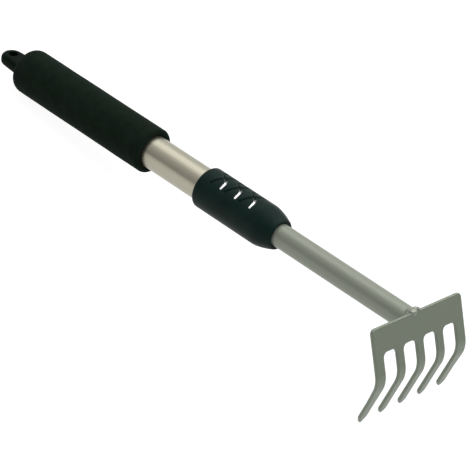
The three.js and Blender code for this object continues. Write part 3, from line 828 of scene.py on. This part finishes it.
def head_sheet():
    """The stamped plate and its five tines, bent from one flat pattern."""
    flat = bmesh.new()
    flat.faces.new([flat.verts.new((y, s, 0)) for y, s in head_outline()])
    bend = steps_between(BEND_START, BEND_END, 14)
    lines = [SLOT_TOP + SLOT_CORNER, *bend, BEND_END + TAPER_LENGTH]
    for s in lines:
        everything = flat.verts[:] + flat.edges[:] + flat.faces[:]
        bmesh.ops.bisect_plane(
            flat, geom=everything, dist=1e-5, plane_co=(0, s, 0), plane_no=(0, 1, 0)
        )
    flat.verts.index_update()
    count = len(flat.verts)
    spots = [(v.co.x, v.co.y) for v in flat.verts]
    points = [on_sheet(y, s, 0) for y, s in spots] + [on_sheet(y, s, SHEET) for y, s in spots]
    faces = []
    for face in flat.faces:
        front = [v.index for v in face.verts]
        faces.append(tuple(front))
        faces.append(tuple(i + count for i in reversed(front)))
    for edge in flat.edges:
        if edge.is_boundary:
            first, second = (v.index for v in edge.verts)
            faces.append((first, second, second + count, first + count))
    flat.free()
    piece = add_piece("head_sheet", points, faces, "shaft", PAINT)
    bevel = piece.modifiers.new("rolled_edge", "BEVEL")
    bevel.width = EDGE_BEVEL / 1000
    bevel.segments = 4
    bevel.limit_method = "ANGLE"
    bevel.angle_limit = math.radians(45)
    even = piece.modifiers.new("even_shading", "WEIGHTED_NORMAL")
    even.weight = 80
    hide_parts("rake_head")


def pebble(centre, size, rows=8, count=16):
    """Points and faces of an ellipsoid in the tool frame."""
    points = []
    for i in range(rows + 1):
        tilt = math.pi * (0.02 + 0.96 * i / rows)
        for k in range(count):
            turn = 2 * math.pi * k / count
            points.append(
                (
                    centre[0] + size[0] * math.sin(tilt) * math.cos(turn),
                    centre[1] + size[1] * math.sin(tilt) * math.sin(turn),
                    centre[2] + size[2] * math.cos(tilt),
                )
            )
    return points, stacked_faces(rows + 1, count)


def weld_skin():
    """Hand-laid weld: a ring of overlapping ripples and a lump run over the top edge."""
    behind = HEAD_STATION - SHEET / math.cos(HEAD_LEAN)
    lumps = []
    for turn in even_turns(WELD_RIPPLES):
        wander = noise.noise(Vector((3 * math.sin(turn), 3 * math.cos(turn), 7)))
        radius = WELD_RING_RADIUS + 0.5 * wander
        y = -radius * math.sin(turn)
        z = radius * math.cos(turn)
        x = behind - WELD_STAND_OFF - z * math.tan(HEAD_LEAN) + 0.3 * wander
        size = WELD_RIPPLE + 0.35 * wander
        lumps.append(pebble((x, y, z), (size, size, size)))
    top_edge = Vector((-math.sin(HEAD_LEAN), 0, math.cos(HEAD_LEAN))) * HEAD_TOP
    top_edge.x += HEAD_STATION
    for place, size in WELD_LUMPS:
        lumps.append(pebble(top_edge + Vector(place), size))
    points, faces = merged(*lumps)
    piece = add_piece("weld_skin", points, faces, "shaft", WELD_PAINT_PAINTED_LIGHT)
    fuse(piece, WELD_VOXEL, 6)
    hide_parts("weld_bead")


# ------------------------------------------------------------------ carried-over CAD nodes

CAD_FINISH = {
    "outer_tube": ALUMINIUM,
    "inner_tube": TUBE_PAINT_PAINTED_LIGHT,
    "lock_sleeve": PALE_PLASTIC,
    "thrust_washer": ZINC,
    "clamp_ring": PALE_PLASTIC,
    "wiper_ring": RUBBER,
    "guide_bush": PALE_PLASTIC,
    "bush_pin": ZINC,
    "stop_ring": RUBBER,
    "foam_grip": FOAM,
    "hang_plug": DARK_PLASTIC,
    "lock_collar": DARK_PLASTIC,
    "rake_head": PAINT,
    "weld_bead": WELD_PAINT_PAINTED_LIGHT,
}


def finish_cad_nodes():
    """Gives every CAD node its procedural finish."""
    for name, material in CAD_FINISH.items():
        piece = frame["nodes"][name]
        piece.data.materials.clear()
        piece.data.materials.append(material)


# ------------------------------------------------------------------ studio
FLOOR_REACH = 12                 # metres
FLOOR_GAP = 0.0002               # metres below the tine tips
FLOOR_GLOW = 0.93
BACKDROP = 1.08
WORLD_FRONT = 0.25
WORLD_TOP = 0.85
WORLD_BACK = 0.5
CAMERA_LENS = 234.66
CAMERA_PLACE = (1310.8, -1403.3, 1109.2)
CAMERA_FORWARD = (-0.5608, 0.6445, -0.5197)
CAMERA_UP = (-0.4593, 0.2801, 0.8430)


def add_floor():
    """Plain white ground that glows a little, so that shadows on it stay faint."""
    mesh = bpy.data.meshes.new("studio_floor")
    reach = FLOOR_REACH
    corners = [(-reach, -reach, 0), (reach, -reach, 0), (reach, reach, 0), (-reach, reach, 0)]
    mesh.from_pydata(corners, [], [(0, 1, 2, 3)])
    floor = bpy.data.objects.new("studio_floor", mesh)
    floor.location.z = -FLOOR_GAP
    bpy.context.scene.collection.objects.link(floor)
    made, tree, shader = new_material("studio_floor_white")
    place = node(tree, "TexCoord").outputs["Object"]
    cloud = noise_at(tree, place, 3.0, 2.0)
    color = blended(tree, cloud, (0.13, 0.13, 0.13), (0.15, 0.15, 0.15))
    tree.links.new(color, shader.inputs["Base Color"])
    shader.inputs["Emission Color"].default_value = (1, 1, 1, 1)
    shader.inputs["Emission Strength"].default_value = FLOOR_GLOW
    shader.inputs["Roughness"].default_value = 0.9
    shader.inputs["Specular IOR Level"].default_value = 0.1
    mesh.materials.append(made)


def add_softbox(name, place, aim, width, length, power):
    """An area light at a tool-frame place, in metres, facing a tool-frame aim.

    Its width runs along the handle and its length across it.
    """
    light = bpy.data.lights.new(name, "AREA")
    light.shape = "RECTANGLE"
    light.size = width
    light.size_y = length
    light.energy = power
    box = bpy.data.objects.new(name, light)
    spot = TOOL @ (Vector(place) * 1000)
    facing = (spot - TOOL @ Vector(aim)).normalized()
    handle = (TOOL.to_3x3() @ Vector((1, 0, 0))).normalized()
    along = (handle - facing * handle.dot(facing)).normalized()
    turn = Matrix((along, facing.cross(along), facing)).transposed().to_4x4()
    box.matrix_world = Matrix.Translation(spot) @ turn
    bpy.context.scene.collection.objects.link(box)


def add_world():
    """A white studio: bright overhead and behind, darker at the horizon in front."""
    world = bpy.data.worlds.new("studio")
    world.use_nodes = True
    bpy.context.scene.world = world
    tree = world.node_tree
    tree.nodes.clear()
    way = node(tree, "TexCoord").outputs["Generated"]
    parts = node(tree, "SeparateXYZ", Vector=way)
    height = spread(tree, parts.outputs["Z"], 0.02, 0.75, WORLD_FRONT, WORLD_TOP)
    behind = node(tree, "VectorMath")
    behind.operation = "DOT_PRODUCT"
    tree.links.new(way, behind.inputs[0])
    behind.inputs[1].default_value = (-0.55, 0.83, 0.1)
    back = spread(tree, behind.outputs["Value"], 0.1, 0.95, 0.0, WORLD_BACK)
    shade = sum_of(tree, height, back)
    seen = node(tree, "LightPath").outputs["Is Camera Ray"]
    strength = node(tree, "Mix", Factor=seen)
    strength.data_type = "FLOAT"
    tree.links.new(shade, strength.inputs[2])
    strength.inputs[3].default_value = BACKDROP
    sky = node(tree, "Background", Color=(1.0, 1.0, 0.985, 1))
    tree.links.new(strength.outputs[0], sky.inputs["Strength"])
    out = node(tree, "OutputWorld")
    tree.links.new(sky.outputs["Background"], out.inputs["Surface"])


def add_camera():
    """A long lens above and in front of the head, looking back along the handle."""
    data = bpy.data.cameras.new("camera")
    data.sensor_width = 36
    data.lens = CAMERA_LENS
    data.clip_end = 100
    camera = bpy.data.objects.new("camera", data)
    forward = (TOOL.to_3x3() @ Vector(CAMERA_FORWARD)).normalized()
    right = forward.cross(TOOL.to_3x3() @ Vector(CAMERA_UP)).normalized()
    up = right.cross(forward)
    turn = Matrix((right, up, -forward)).transposed().to_4x4()
    camera.matrix_world = Matrix.Translation(TOOL @ Vector(CAMERA_PLACE)) @ turn
    bpy.context.scene.collection.objects.link(camera)
    bpy.context.scene.camera = camera


# ------------------------------------------------------------------ the scene

add_camera()
foam_skin()
hang_lug()
collar_shell()
head_sheet()
weld_skin()
finish_cad_nodes()
add_floor()
add_world()
add_softbox("overhead", (-1.0, 0.5, 2.0), (60, 0, 0), 1.6, 1.6, 8)
add_softbox("key", (0.62, 0.55, 1.35), (87, 0, 15), 1.4, 2.0, 26)

bpy.context.scene.view_settings.view_transform = "Standard"
bpy.context.scene.view_settings.look = "None"
